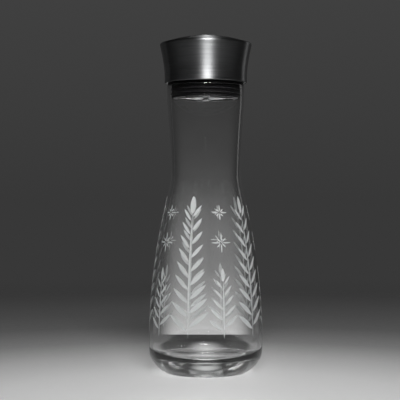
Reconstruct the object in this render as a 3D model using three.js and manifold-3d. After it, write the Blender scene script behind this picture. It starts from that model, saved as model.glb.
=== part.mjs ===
// A one-litre glass water carafe with a self-opening stainless-steel closure.
// Millimetres, +Z up. The origin is the centre of the glass foot, on the table.
//
// The closure is a plug that lifts out of the neck. Inside it a steel ball rests between two
// shallow cones. When the carafe is tilted the ball rolls outwards and wedges the cones apart,
// which lifts the domed lid off its seat. Set upright again, the ball rolls back and the lid closes.

import * as THREE from "three";
import { mergeVertices } from "three/addons/utils/BufferGeometryUtils.js";
import Module from "manifold-3d";

// Driving dimensions: glass body
const GLASS_HEIGHT = 248; // foot to fire-polished rim
const GLASS_WALL = 2.8;
const FLOOR_THICKNESS = 14;
const FLOOR_CORNER = 9; // radius where the inner wall meets the floor
const BODY_RADIUS = 49; // widest, just above the heel
const HEEL_HEIGHT = 20; // where the side starts to turn under
const HEEL_ROUND = 8; // how long the side stays upright into the heel
const HEEL_LEAD_OUT = 9.5; // the heel leaves the foot outwards and upwards
const HEEL_LEAD_UP = 5.5;
const FOOT_RADIUS = 35;
const PUNT_RADIUS = 27; // shallow hollow under the foot
const PUNT_DEPTH = 1.4;
const BODY_FULLNESS = 90; // height over which the side swells before it draws in
const WAIST_RADIUS = 29.2;
const WAIST_HEIGHT = 170;
const WAIST_BELOW = 6; // how long the waist stays upright below and above
const WAIST_ABOVE = 12;
const NECK_RADIUS = 33.4;
const NECK_STRAIGHT = 13; // upright bore that takes the plug
const NECK_EASE = 2;

// Driving dimensions: clearances
const SEAT_GAP = 0.3; // between pieces that rest on or fit in each other
const RUN_GAP = 0.3; // between pieces that slide or roll on each other

// Driving dimensions: silicone sleeve and plug
const SLEEVE_WALL = 1.2;
const SLEEVE_LENGTH = 11.8;
const SLEEVE_FLANGE = 1.2; // cushion between the glass rim and the collar
const SLEEVE_FLANGE_INSET = 0.6; // how far the cushion stays inside the neck's outside
const RIB_COUNT = 3;
const RIB_DEPTH = 1;
const RIB_HEIGHT = 1.8;
const PLUG_WALL = 2;
const PLUG_FLANGE_INSET = 0.4; // how far the flange stays inside the collar's corner
const PLUG_FLANGE = 1.6;
const PLUG_SPOKES = 4;
const SPOKE_WIDTH = 3;

// Driving dimensions: steel collar
const COLLAR_SHEET = 1;
const COLLAR_PROUD = 2.2; // the collar's side stands this far outside the neck
const COLLAR_FLARE = 4.1; // and its rim this far outside its side
const COLLAR_FOOT_ROUND = 5;
const COLLAR_FLARE_START = 15; // height where the flare pulls outwards
const RIM_BEAD = 2.6; // rolled rim, measured across
const RIM_BEAD_DEPTH = 1.6;

// Driving dimensions: inner steel funnel and its gasket
const FUNNEL_SHEET = 0.8;
const FUNNEL_FLANGE_WIDTH = 3;
const THROAT_STEP = 1.4; // the throat is this much wider than the plug's bore
const CONE_LEAD = 2.6; // the funnel's cone starts this far below the guide
const SEAT_WIDTH = 4.6; // flat ledge that the lid's seal closes on
const SEAT_DEPTH = 5.8; // ledge below the top of the rim
const GASKET_HEIGHT = 1.4;
const GASKET_WIDTH = 2.2;

// Driving dimensions: ball lift
const BALL_RADIUS = 8;
const CONE_ANGLE = THREE.MathUtils.degToRad(20);
const LID_LIFT = 5.5;
const RACE_RADIUS = 15;
const RACE_EDGE = 0.8; // flat edge outside the cone
const RACE_BOSS_RADIUS = 10.6;
const RACE_BOSS_HEIGHT = 3;
const RACE_FLOOR = 3.8; // from the boss's underside to the bottom of the cone
const RACE_SKIN = 0.8; // left between the screw's hole and the cone
const RACE_RING_WIDTH = 5.6; // ring of the plug that carries the race
const LIFT_CONE_WALL = 1.6;
const LIFT_BOSS_RADIUS = 6;
const LIFT_BOSS_HEIGHT = 5.2; // from the cone's tip to the boss's top

// Driving dimensions: stem and its guide
const STEM_RADIUS = 3;
const STEM_THREAD_RADIUS = 2;
const STEM_TIP = 0.8; // thread past the nut
const BUSH_WALL = 1.1;
const BUSH_FLANGE = 0.8;
const BUSH_FLANGE_WIDTH = 1.2;
const HUB_WALL = 1.8;
const HUB_HEIGHT = 5.4;
const SPIDER_SPOKES = 3;
const SPIDER_RING_WIDTH = 2.4;
const SPIDER_SPOKE_HEIGHT = 3;

// Driving dimensions: lid
const LID_RIM_GAP = 1; // between the lid's edge and the collar's bead
const LID_DOME = 6.2; // crown above the collar's rim
const LID_SHEET = 0.8;
const LID_EDGE_OVER = 0.5; // the skirt reaches this far above the carrier
const LID_EDGE_ROUND = 1.2;
const LID_SEAL_HEIGHT = 1.6;
const LID_SEAL_WIDTH = 3.6;
const CARRIER_THICKNESS = 2.4;
const CARRIER_BOSS_RADIUS = 6;
const CARRIER_BOSS_LENGTH = 3.8;
const NUT_WIDTH = 7; // across the flats
const NUT_HEIGHT = 3.2;

// Driving dimensions: slotted retainer plate and its screw
const PLATE_THICKNESS = 1;
const PLATE_SLOT_MARGIN = 0.8; // the slots stay this far inside the channels between the plug's spokes
const SCREW_RADIUS = 1.3;
const SCREW_HEAD_RADIUS = 3;
const SCREW_HEAD_HEIGHT = 1.4;
const SCREW_END_GAP = 0.4;

// Facets round the axis
const COARSE = 28;
const MIDDLE = 36;
const FINE = 44;
const SAME_POINT = 1e-3; // points nearer than this are one point

// Places worked out from those dimensions: the plug in the neck
const boreRadius = NECK_RADIUS - GLASS_WALL;
const ribRadius = boreRadius - SEAT_GAP;
const sleeveRadius = ribRadius - RIB_DEPTH;
const sleeveBore = sleeveRadius - SLEEVE_WALL;
const plugRadius = sleeveBore - SEAT_GAP;
const plugBore = plugRadius - PLUG_WALL;
const sleeveSeat = GLASS_HEIGHT + SEAT_GAP;
const sleeveTop = sleeveSeat + SLEEVE_FLANGE;
const sleeveFoot = sleeveTop - SLEEVE_LENGTH;
const plateTop = sleeveFoot - SEAT_GAP;
const plateFoot = plateTop - PLATE_THICKNESS;
const plugFoot = plateTop + SEAT_GAP;
const collarFoot = sleeveTop + SEAT_GAP;
const plugFlange = collarFoot + COLLAR_SHEET + SEAT_GAP;
const plugTop = plugFlange + PLUG_FLANGE;
const plugFlangeRadius = NECK_RADIUS - COLLAR_SHEET - PLUG_FLANGE_INSET;
const carryBore = RACE_BOSS_RADIUS + SEAT_GAP; // ring of the plug that carries the race
const carryRadius = carryBore + RACE_RING_WIDTH;

// Places worked out from those dimensions: the ball between its cones, and the stem's guide
const raceFoot = plugFoot;
const raceTip = raceFoot + RACE_FLOOR;
const screwBoreEnd = raceTip - RACE_SKIN;
const coneSlope = Math.tan(CONE_ANGLE);
const ballReach = BALL_RADIUS / Math.cos(CONE_ANGLE); // from the ball's centre to a cone's tip
const ballHeight = raceTip + RUN_GAP + ballReach;
const liftTip = ballHeight + ballReach + RUN_GAP;
const liftTop = liftTip + LIFT_BOSS_HEIGHT;
const stemBoreEnd = liftTip + LIFT_CONE_WALL;
const hubFoot = liftTop + LID_LIFT + RUN_GAP;
const hubTop = hubFoot + HUB_HEIGHT;
const bushBore = STEM_RADIUS + RUN_GAP;
const bushRadius = bushBore + BUSH_WALL;
const hubBore = bushRadius + SEAT_GAP;
const bushTop = hubTop + SEAT_GAP + BUSH_FLANGE;

// Places worked out from those dimensions: the lid on its seat, and the rim above it
const carrierBossFoot = bushTop + RUN_GAP;
const carrierFoot = carrierBossFoot + CARRIER_BOSS_LENGTH;
const carrierTop = carrierFoot + CARRIER_THICKNESS;
const sealFoot = carrierFoot - SEAT_GAP - LID_SEAL_HEIGHT;
const seatHeight = sealFoot - SEAT_GAP;
const seatFoot = seatHeight - FUNNEL_SHEET;
const collarRim = seatHeight + SEAT_DEPTH;
const stemShoulder = carrierBossFoot - SEAT_GAP;
const nutFoot = carrierTop + SEAT_GAP;
const nutTop = nutFoot + NUT_HEIGHT;
const lidFoot = carrierFoot + SEAT_GAP;
const lidEdge = carrierTop + LID_EDGE_OVER;
const lidCrown = collarRim + LID_DOME;

// Places worked out from those dimensions: the collar and the funnel inside it
const collarSideRadius = NECK_RADIUS + COLLAR_PROUD;
const collarRimRadius = collarSideRadius + COLLAR_FLARE;
const collarSide = collarFoot + COLLAR_FOOT_ROUND;
const collarFlare = collarFoot + COLLAR_FLARE_START;
const beadRound = RIM_BEAD / 2;
const beadFoot = collarRim - RIM_BEAD_DEPTH;
const beadRadius = collarRimRadius - RIM_BEAD;
const lidRadius = beadRadius - LID_RIM_GAP;
const carrierRadius = lidRadius - LID_SHEET - SEAT_GAP;
const gasketFoot = plugTop + SEAT_GAP;
const funnelFoot = gasketFoot + GASKET_HEIGHT + SEAT_GAP;
const throatRadius = plugBore + THROAT_STEP;
const throatTop = hubFoot - CONE_LEAD;
const lipTop = beadFoot - SEAT_GAP;
const lipFootRadius = collarInside(seatFoot) - SEAT_GAP;
const lipTopRadius = collarInside(lipTop) - SEAT_GAP;
const seatInner = lipFootRadius - FUNNEL_SHEET - SEAT_WIDTH;

const wasm = await Module();
wasm.setup();

// Inner radius of the collar's flare at a height.
function collarInside(z) {
  const rise = z - collarSide;
  const first = collarFlare - collarSide;
  const second = collarRim - beadRound - collarFlare - first;
  const t = rise / (first + Math.sqrt(first * first + second * rise));
  return collarSideRadius - COLLAR_SHEET + (collarRimRadius - collarSideRadius) * t * t;
}

const at = (r, z) => new THREE.Vector2(r, z);

// Points along a quadratic or cubic curve through its handles.
function curve(steps, ...handles) {
  const Kind = handles.length === 3 ? THREE.QuadraticBezierCurve : THREE.CubicBezierCurve;
  return new Kind(...handles).getPoints(steps);
}

// Points along a circular arc about (r, z); angles are in quarter turns from straight outwards.
function arc(steps, r, z, radius, from, to) {
  const turn = Math.PI / 2;
  return new THREE.EllipseCurve(r, z, radius, radius, from * turn, to * turn, to < from).getPoints(steps);
}

// A solid of revolution about Z from an outline of (radius, height) points that runs anticlockwise.
// It is closed: an outline that leaves the axis is joined back to its first point.
function lathe(segments, outline) {
  const points = outline.flat().filter((p, i, all) => i === 0 || p.distanceTo(all[i - 1]) > SAME_POINT);
  const onAxis = points[0].x === 0 && points.at(-1).x === 0;
  if (!onAxis) points.push(points[0].clone());
  return new THREE.LatheGeometry(points, segments).rotateX(Math.PI / 2);
}

// A plain ring or disc between two radii and two heights.
function ring(segments, inner, outer, foot, top) {
  return lathe(segments, [at(inner, foot), at(outer, foot), at(outer, top), at(inner, top)]);
}

function toSolid(geometry) {
  const bare = geometry.clone();
  bare.deleteAttribute("normal");
  bare.deleteAttribute("uv");
  const merged = mergeVertices(bare, SAME_POINT);
  return new wasm.Manifold(
    new wasm.Mesh({
      numProp: 3,
      vertProperties: merged.attributes.position.array,
      triVerts: new Uint32Array(merged.index.array),
    }),
  );
}

// Joins closed geometries into one.
function join(...geometries) {
  const mesh = geometries.map(toSolid).reduce((sum, solid) => sum.add(solid)).getMesh();
  return new THREE.BufferGeometry()
    .setAttribute("position", new THREE.BufferAttribute(new Float32Array(mesh.vertProperties), 3))
    .setIndex(new THREE.BufferAttribute(new Uint32Array(mesh.triVerts), 1));
}

// Straight spokes round the axis, from one radius to another.
function spokes(count, inner, outer, foot, height) {
  return Array.from({ length: count }, (_, i) =>
    new THREE.BoxGeometry(outer - inner, SPOKE_WIDTH, height)
      .translate((inner + outer) / 2, 0, foot + height / 2)
      .rotateZ((2 * Math.PI * i) / count),
  );
}

// Glass: punt, foot, heel, swelling body, waist, neck and polished rim, then back down inside.
function glassBody() {
  const neckStart = GLASS_HEIGHT - NECK_STRAIGHT;
  const bodyInner = BODY_RADIUS - GLASS_WALL;
  const waistInner = WAIST_RADIUS - GLASS_WALL;
  const floorTop = FLOOR_THICKNESS + FLOOR_CORNER;
  const rimCentre = GLASS_HEIGHT - GLASS_WALL / 2;
  return lathe(FINE, [
    curve(3, at(0, PUNT_DEPTH), at(PUNT_RADIUS / 2, PUNT_DEPTH), at(PUNT_RADIUS, 0)),
    curve(
      6,
      at(FOOT_RADIUS, 0),
      at(FOOT_RADIUS + HEEL_LEAD_OUT, HEEL_LEAD_UP),
      at(BODY_RADIUS, HEEL_HEIGHT - HEEL_ROUND),
      at(BODY_RADIUS, HEEL_HEIGHT),
    ),
    curve(
      10,
      at(BODY_RADIUS, HEEL_HEIGHT),
      at(BODY_RADIUS, HEEL_HEIGHT + BODY_FULLNESS),
      at(WAIST_RADIUS, WAIST_HEIGHT - WAIST_BELOW),
      at(WAIST_RADIUS, WAIST_HEIGHT),
    ),
    curve(
      5,
      at(WAIST_RADIUS, WAIST_HEIGHT),
      at(WAIST_RADIUS, WAIST_HEIGHT + WAIST_ABOVE),
      at(NECK_RADIUS, neckStart - NECK_EASE),
      at(NECK_RADIUS, neckStart),
    ),
    arc(5, NECK_RADIUS - GLASS_WALL / 2, rimCentre, GLASS_WALL / 2, 0, 2),
    curve(
      5,
      at(boreRadius, neckStart),
      at(boreRadius, neckStart - NECK_EASE),
      at(waistInner, WAIST_HEIGHT + WAIST_ABOVE),
      at(waistInner, WAIST_HEIGHT),
    ),
    curve(
      10,
      at(waistInner, WAIST_HEIGHT),
      at(waistInner, WAIST_HEIGHT - WAIST_BELOW),
      at(bodyInner, HEEL_HEIGHT + BODY_FULLNESS),
      at(bodyInner, floorTop),
    ),
    curve(
      5,
      at(bodyInner, floorTop),
      at(bodyInner, FLOOR_THICKNESS),
      at(bodyInner - FLOOR_CORNER, FLOOR_THICKNESS),
    ),
    at(0, FLOOR_THICKNESS),
  ]);
}

// Drawn steel collar: turned-in foot, rounded corner, flared side and rolled rim.
function steelCollar() {
  const footInner = plugRadius + SEAT_GAP;
  const corner = (inset) => [
    at(NECK_RADIUS - inset, collarFoot + inset),
    at(collarSideRadius - inset, collarFoot + inset),
    at(collarSideRadius - inset, collarSide),
  ];
  const flare = curve(
    6,
    at(collarSideRadius, collarSide),
    at(collarSideRadius, collarFlare),
    at(collarRimRadius, collarRim - beadRound),
  );
  const insideHeights = flare.map((p) => p.y).filter((z) => z < beadFoot - COLLAR_SHEET);
  const inside = [...insideHeights, beadFoot].map((z) => at(collarInside(z), z));
  return lathe(FINE, [
    at(footInner, collarFoot),
    curve(4, ...corner(0)),
    flare,
    arc(5, collarRimRadius - beadRound, collarRim - beadRound, beadRound, 0, 2),
    at(beadRadius, beadFoot),
    inside.reverse(),
    curve(3, ...corner(COLLAR_SHEET)).reverse(),
    at(footInner, collarFoot + COLLAR_SHEET),
  ]);
}

// Inner radius of the funnel's cone at a height, less a gap measured square to the cone.
function funnelRadius(z, gap) {
  const slope = (seatInner - throatRadius) / (seatFoot - throatTop);
  return throatRadius + slope * (z - throatTop) - gap * Math.hypot(1, slope);
}

// Deep-drawn funnel: flange on the gasket, throat, cone, seat ledge and a lip under the rolled rim.
function pourFunnel() {
  const t = FUNNEL_SHEET;
  const outside = throatRadius + t;
  return lathe(MIDDLE, [
    at(throatRadius, funnelFoot),
    at(throatRadius + FUNNEL_FLANGE_WIDTH, funnelFoot),
    at(throatRadius + FUNNEL_FLANGE_WIDTH, funnelFoot + t),
    at(outside, funnelFoot + t),
    at(outside, throatTop),
    at(seatInner + t, seatFoot - t),
    at(lipFootRadius - t, seatFoot - t),
    at(lipFootRadius, seatFoot),
    at(lipTopRadius, lipTop),
    at(lipTopRadius - t, lipTop),
    at(lipFootRadius - t, seatHeight),
    at(seatInner + t, seatHeight),
    at(seatInner, seatFoot),
    at(throatRadius, throatTop),
  ]);
}

// Silicone ring between the plug's flange and the funnel.
function funnelGasket() {
  const centre = throatRadius + FUNNEL_SHEET + GASKET_WIDTH / 2;
  const round = GASKET_HEIGHT / 2;
  const flat = (GASKET_WIDTH - GASKET_HEIGHT) / 2;
  return lathe(COARSE, [
    arc(4, centre + flat, gasketFoot + round, round, -1, 1),
    arc(4, centre - flat, gasketFoot + round, round, 1, 3),
  ]);
}

// Ribbed silicone sleeve with a cushion flange that lies on the glass rim.
function stopperSeal() {
  const flangeRadius = NECK_RADIUS - SLEEVE_FLANGE_INSET;
  const pitch = (sleeveSeat - sleeveFoot) / RIB_COUNT;
  const ribs = Array.from({ length: RIB_COUNT }, (_, i) => {
    const middle = sleeveFoot + pitch * (i + 0.5);
    return [
      at(sleeveRadius, middle - RIB_HEIGHT / 2),
      at(ribRadius, middle),
      at(ribRadius, middle + RIB_HEIGHT / 4),
      at(sleeveRadius, middle + RIB_HEIGHT / 2),
    ];
  });
  return lathe(MIDDLE, [
    at(sleeveBore, sleeveFoot),
    at(sleeveRadius - SLEEVE_WALL / 2, sleeveFoot),
    ...ribs,
    at(sleeveRadius, sleeveSeat),
    at(flangeRadius, sleeveSeat),
    at(flangeRadius, sleeveTop),
    at(sleeveBore, sleeveTop),
  ]);
}

// Moulded plug: a tube with a flange in the collar, and a ring on spokes that carries the ball race.
function stopperBody() {
  const ringTop = raceFoot + RACE_BOSS_HEIGHT - SEAT_GAP;
  const tube = lathe(MIDDLE, [
    at(plugBore, plugFoot),
    at(plugRadius, plugFoot),
    at(plugRadius, plugFlange),
    at(plugFlangeRadius, plugFlange),
    at(plugFlangeRadius, plugTop),
    at(plugBore, plugTop),
  ]);
  const spokeInner = carryRadius - RACE_RING_WIDTH / 4;
  const spokeOuter = plugBore + PLUG_WALL / 2;
  return join(
    tube,
    ring(COARSE, carryBore, carryRadius, plugFoot, ringTop),
    ...spokes(PLUG_SPOKES, spokeInner, spokeOuter, plugFoot, ringTop - plugFoot),
  );
}

// Slotted steel plate that holds the sleeve up; each slot lies under one of the plug's channels.
function retainerPlate() {
  const disc = new THREE.Shape().absarc(0, 0, sleeveRadius, 0, 2 * Math.PI);
  disc.holes.push(new THREE.Path().absarc(0, 0, SCREW_RADIUS + SEAT_GAP, 0, 2 * Math.PI));
  const slotInner = carryRadius + PLATE_SLOT_MARGIN;
  const slotOuter = plugBore - PLATE_SLOT_MARGIN;
  const covered = Math.asin((SPOKE_WIDTH / 2 + PLATE_SLOT_MARGIN) / slotInner);
  for (let i = 0; i < PLUG_SPOKES; i++) {
    const from = (2 * Math.PI * i) / PLUG_SPOKES + covered;
    const to = (2 * Math.PI * (i + 1)) / PLUG_SPOKES - covered;
    const slot = new THREE.Path().absarc(0, 0, slotOuter, from, to, false);
    disc.holes.push(slot.absarc(0, 0, slotInner, to, from, true));
  }
  return new THREE.ExtrudeGeometry(disc, {
    depth: PLATE_THICKNESS,
    bevelEnabled: false,
    curveSegments: MIDDLE / 2,
  }).translate(0, 0, plateFoot);
}

// Pan-head screw up through the plate into the race.
function retainerScrew() {
  const headTop = plateFoot - SEAT_GAP;
  const headFoot = headTop - SCREW_HEAD_HEIGHT;
  const end = screwBoreEnd - SCREW_END_GAP;
  return lathe(COARSE, [
    at(0, headFoot),
    curve(
      4,
      at(SCREW_HEAD_RADIUS / 2, headFoot),
      at(SCREW_HEAD_RADIUS, headFoot),
      at(SCREW_HEAD_RADIUS, headTop),
    ),
    at(SCREW_RADIUS, headTop),
    at(SCREW_RADIUS, end),
    at(0, end),
  ]);
}

// Turned race: the lower cone, with a boss that drops into the plug's ring and takes the screw.
function ballRace() {
  const flangeFoot = raceFoot + RACE_BOSS_HEIGHT;
  const edge = raceTip + RACE_RADIUS * coneSlope;
  const screwBore = SCREW_RADIUS + SEAT_GAP;
  return lathe(COARSE, [
    at(0, screwBoreEnd),
    at(screwBore, screwBoreEnd),
    at(screwBore, raceFoot),
    at(RACE_BOSS_RADIUS, raceFoot),
    at(RACE_BOSS_RADIUS, flangeFoot),
    at(RACE_RADIUS + RACE_EDGE, flangeFoot),
    at(RACE_RADIUS + RACE_EDGE, edge),
    at(RACE_RADIUS, edge),
    at(0, raceTip),
  ]);
}

function tiltBall() {
  const ball = new THREE.SphereGeometry(BALL_RADIUS, COARSE, COARSE / 2);
  return ball.rotateX(Math.PI / 2).translate(0, 0, ballHeight);
}

// Upper cone, open downwards over the ball, with a boss for the stem's thread.
function liftCone() {
  const edge = liftTip - RACE_RADIUS * coneSlope;
  const wall = LIFT_CONE_WALL / Math.cos(CONE_ANGLE);
  const screwBore = STEM_THREAD_RADIUS + SEAT_GAP;
  return lathe(COARSE, [
    at(0, liftTip),
    at(RACE_RADIUS, edge),
    at(RACE_RADIUS, edge + wall),
    at(LIFT_BOSS_RADIUS, liftTip + wall - LIFT_BOSS_RADIUS * coneSlope),
    at(LIFT_BOSS_RADIUS, liftTop),
    at(screwBore, liftTop),
    at(screwBore, stemBoreEnd),
    at(0, stemBoreEnd),
  ]);
}

// Steel stem: thread in the lift cone, plain guided shank, shoulder and thread through the carrier.
function liftStem() {
  const root = stemBoreEnd + SEAT_GAP;
  const shankFoot = liftTop + SEAT_GAP;
  const end = nutTop + STEM_TIP;
  return lathe(COARSE, [
    at(0, root),
    at(STEM_THREAD_RADIUS, root),
    at(STEM_THREAD_RADIUS, shankFoot),
    at(STEM_RADIUS, shankFoot),
    at(STEM_RADIUS, stemShoulder),
    at(STEM_THREAD_RADIUS, stemShoulder),
    at(STEM_THREAD_RADIUS, end),
    at(0, end),
  ]);
}

// Guide across the funnel: a ring that wedges in the cone, a hub, and spokes between them.
function guideSpider() {
  const hubRadius = hubBore + HUB_WALL;
  const ringTop = hubFoot + SPIDER_SPOKE_HEIGHT;
  const ringRadius = funnelRadius(hubFoot, SEAT_GAP);
  const wedge = lathe(MIDDLE, [
    at(ringRadius - SPIDER_RING_WIDTH, hubFoot),
    at(ringRadius, hubFoot),
    at(funnelRadius(ringTop, SEAT_GAP), ringTop),
    at(ringRadius - SPIDER_RING_WIDTH, ringTop),
  ]);
  const spokeOuter = ringRadius - SPIDER_RING_WIDTH / 2;
  return join(
    wedge,
    ring(COARSE, hubBore, hubRadius, hubFoot, hubTop),
    ...spokes(SPIDER_SPOKES, hubBore + HUB_WALL / 2, spokeOuter, hubFoot, SPIDER_SPOKE_HEIGHT),
  );
}

// Flanged bush that the stem slides in.
function guideBush() {
  return lathe(COARSE, [
    at(bushBore, hubFoot),
    at(bushRadius, hubFoot),
    at(bushRadius, hubTop + SEAT_GAP),
    at(bushRadius + BUSH_FLANGE_WIDTH, hubTop + SEAT_GAP),
    at(bushRadius + BUSH_FLANGE_WIDTH, bushTop),
    at(bushBore, bushTop),
  ]);
}

// Moulded disc under the dome, with a boss down to the stem's shoulder.
function lidCarrier() {
  const bore = STEM_THREAD_RADIUS + SEAT_GAP;
  return lathe(MIDDLE, [
    at(bore, carrierBossFoot),
    at(CARRIER_BOSS_RADIUS, carrierBossFoot),
    at(CARRIER_BOSS_RADIUS, carrierFoot),
    at(carrierRadius, carrierFoot),
    at(carrierRadius, carrierTop),
    at(bore, carrierTop),
  ]);
}

// Silicone ring under the carrier, with a lip towards the seat.
function lidSeal() {
  const outer = carrierRadius;
  const inner = outer - LID_SEAL_WIDTH;
  return lathe(MIDDLE, [
    at(inner + LID_SEAL_WIDTH / 3, sealFoot),
    at(outer - LID_SEAL_WIDTH / 3, sealFoot),
    at(outer, sealFoot + LID_SEAL_HEIGHT / 2),
    at(outer, sealFoot + LID_SEAL_HEIGHT),
    at(inner, sealFoot + LID_SEAL_HEIGHT),
    at(inner, sealFoot + LID_SEAL_HEIGHT / 2),
  ]);
}

// Pressed steel dome with a rounded shoulder and a short skirt round the carrier.
function lidDome() {
  const round = LID_EDGE_ROUND;
  const inside = lidRadius - LID_SHEET;
  const shoulder = lidEdge + round;
  const shoulderInside = shoulder - LID_SHEET;
  const crownInside = lidCrown - LID_SHEET;
  const crownHandle = lidRadius / 2;
  return lathe(FINE, [
    at(inside, lidFoot),
    at(lidRadius, lidFoot),
    curve(3, at(lidRadius, lidEdge), at(lidRadius, shoulder - round / 3), at(lidRadius - round, shoulder)),
    curve(6, at(lidRadius - round, shoulder), at(crownHandle, lidCrown), at(0, lidCrown)),
    curve(5, at(0, crownInside), at(crownHandle, crownInside), at(inside - round, shoulderInside)),
    at(inside, lidEdge - LID_SHEET / 2),
  ]);
}

// Hexagon nut that clamps the carrier on the stem's shoulder.
function lidNut() {
  const corner = NUT_WIDTH / Math.sqrt(3);
  const hexagon = new THREE.Shape(
    Array.from({ length: 6 }, (_, i) => {
      const turn = (Math.PI * i) / 3;
      return at(corner * Math.cos(turn), corner * Math.sin(turn));
    }),
  );
  hexagon.holes.push(new THREE.Path().absarc(0, 0, STEM_THREAD_RADIUS + SEAT_GAP, 0, 2 * Math.PI));
  return new THREE.ExtrudeGeometry(hexagon, {
    depth: NUT_HEIGHT,
    bevelEnabled: false,
    curveSegments: 12,
  }).translate(0, 0, nutFoot);
}

const glass = new THREE.MeshStandardMaterial({
  color: 0xe8eef0,
  roughness: 0.02,
  metalness: 0,
  transparent: true,
  opacity: 0.3,
});
const brushedSteel = new THREE.MeshStandardMaterial({ color: 0xb9babb, roughness: 0.34, metalness: 1 });
const polishedSteel = new THREE.MeshStandardMaterial({ color: 0xc8c9ca, roughness: 0.16, metalness: 1 });
const silicone = new THREE.MeshStandardMaterial({ color: 0x121314, roughness: 0.55, metalness: 0 });
const blackPlastic = new THREE.MeshStandardMaterial({ color: 0x1b1c1d, roughness: 0.4, metalness: 0 });
const paleAcetal = new THREE.MeshStandardMaterial({ color: 0xd9d8d2, roughness: 0.4, metalness: 0 });

const pieces = {
  vessel: [["glass_body", glassBody(), glass]],
  closure: [
    ["steel_collar", steelCollar(), brushedSteel],
    ["pour_funnel", pourFunnel(), polishedSteel],
    ["funnel_gasket", funnelGasket(), silicone],
    ["stopper_body", stopperBody(), blackPlastic],
    ["stopper_seal", stopperSeal(), silicone],
    ["retainer_plate", retainerPlate(), polishedSteel],
    ["retainer_screw", retainerScrew(), polishedSteel],
    ["ball_race", ballRace(), paleAcetal],
    ["guide_spider", guideSpider(), blackPlastic],
    ["guide_bush", guideBush(), paleAcetal],
  ],
  lid: [
    ["lid_dome", lidDome(), brushedSteel],
    ["lid_carrier", lidCarrier(), blackPlastic],
    ["lid_seal", lidSeal(), silicone],
    ["lid_nut", lidNut(), polishedSteel],
    ["lift_stem", liftStem(), polishedSteel],
    ["lift_cone", liftCone(), paleAcetal],
  ],
  ball: [["tilt_ball", tiltBall(), polishedSteel]],
};

const carafe = new THREE.Group();
for (const [assembly, members] of Object.entries(pieces)) {
  const group = new THREE.Group();
  group.name = assembly;
  for (const [name, geometry, material] of members) {
    const mesh = new THREE.Mesh(geometry, material);
    mesh.name = name;
    group.add(mesh);
  }
  carafe.add(group);
}

export default carafe;
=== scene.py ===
"""Studio picture of a one-litre glass carafe with a self-opening steel closure.

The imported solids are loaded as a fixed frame. The turned pieces that show are modelled again with smooth
outlines, the glass gets its wheel-cut sprigs, and every surface gets a finish built from nodes.
Sizes of the carafe are millimetres in the frame of the part; Blender and the studio work in metres.
"""

import logging
import math
from contextlib import contextmanager
from dataclasses import dataclass
from enum import Enum
from functools import cache
from typing import Any, Callable, Iterator, Sequence

import bmesh
import bpy
from bpy.types import Light, Material, Node, NodeSocket, NodeTree, Object
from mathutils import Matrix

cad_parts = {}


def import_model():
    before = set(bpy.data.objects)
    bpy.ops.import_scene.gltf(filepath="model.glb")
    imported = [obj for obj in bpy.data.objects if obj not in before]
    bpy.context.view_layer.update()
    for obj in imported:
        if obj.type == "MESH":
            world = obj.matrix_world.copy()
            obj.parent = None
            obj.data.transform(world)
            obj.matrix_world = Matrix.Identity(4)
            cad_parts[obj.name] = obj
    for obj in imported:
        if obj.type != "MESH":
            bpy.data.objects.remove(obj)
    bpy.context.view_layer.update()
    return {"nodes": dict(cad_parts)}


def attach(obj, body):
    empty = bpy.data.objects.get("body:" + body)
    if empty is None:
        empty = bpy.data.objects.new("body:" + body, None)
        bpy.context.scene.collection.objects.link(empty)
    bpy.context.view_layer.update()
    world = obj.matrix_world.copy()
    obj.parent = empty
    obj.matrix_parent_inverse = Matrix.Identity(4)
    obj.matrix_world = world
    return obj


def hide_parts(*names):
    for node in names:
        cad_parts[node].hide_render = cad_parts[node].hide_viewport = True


LOG = logging.getLogger("carafe")
MM = 0.001
SAME_POINT = 0.01  # points of an outline closer than this, in millimetres, are one
WELD = 0.002 * MM  # so are points of a mesh closer than this
UNIT_WELD = 1e-4  # the same for a cut that is modelled a unit long
ORIGIN = (0, 0, 0)
AXIS = (0, 0, 1)

Point = tuple[float, float]
Spot = tuple[float, float, float]
Outline = list[Point]
Colour = tuple[float, float, float, float]
Sockets = dict[str | int, Any]


class Body(Enum):
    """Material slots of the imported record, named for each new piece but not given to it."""

    VESSEL = "vessel"
    CLOSURE = "closure"
    LID = "lid"


class Slot(Enum):
    """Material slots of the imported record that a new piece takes."""

    GLASS = "glass"
    BRUSHED_STEEL = "brushed_steel"
    POLISHED_STEEL = "polished_steel"
    SILICONE = "silicone"
    BLACK_PLASTIC = "black_plastic"


class MeshPart(Enum):
    """Parts of a mesh that can be picked."""

    VERTS = "VERT"
    FACES = "FACE"


# Drawing helpers


def linear(hex_colour: str) -> Colour:
    """Turn an sRGB hex colour to linear light.

    Args:
        hex_colour: Six hex digits.

    Returns:
        Linear red, green, blue and an alpha of 1.
    """
    shares = [int(hex_colour[i : i + 2], 16) / 255 for i in (0, 2, 4)]
    red, green, blue = (s / 12.92 if s <= 0.04045 else ((s + 0.055) / 1.055) ** 2.4 for s in shares)
    return red, green, blue, 1.0


def bezier(steps: int, *handles: Point) -> Outline:
    """Walk along a Bezier curve.

    Args:
        steps: Number of straight stretches.
        handles: Its handles, as (radius, height).

    Returns:
        The points, ends included.
    """
    points: Outline = []
    for i in range(steps + 1):
        t = i / steps
        rest = list(handles)
        while len(rest) > 1:
            rest = [(a[0] + t * (b[0] - a[0]), a[1] + t * (b[1] - a[1])) for a, b in zip(rest, rest[1:])]
        points.append(rest[0])
    return points


def arc(steps: int, centre: Point, radius: float, start: float, end: float) -> Outline:
    """Walk along an arc, from one angle to another, in degrees from straight outwards."""
    angles = [math.radians(start + (end - start) * i / steps) for i in range(steps + 1)]
    return [(centre[0] + radius * math.cos(a), centre[1] + radius * math.sin(a)) for a in angles]


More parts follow.
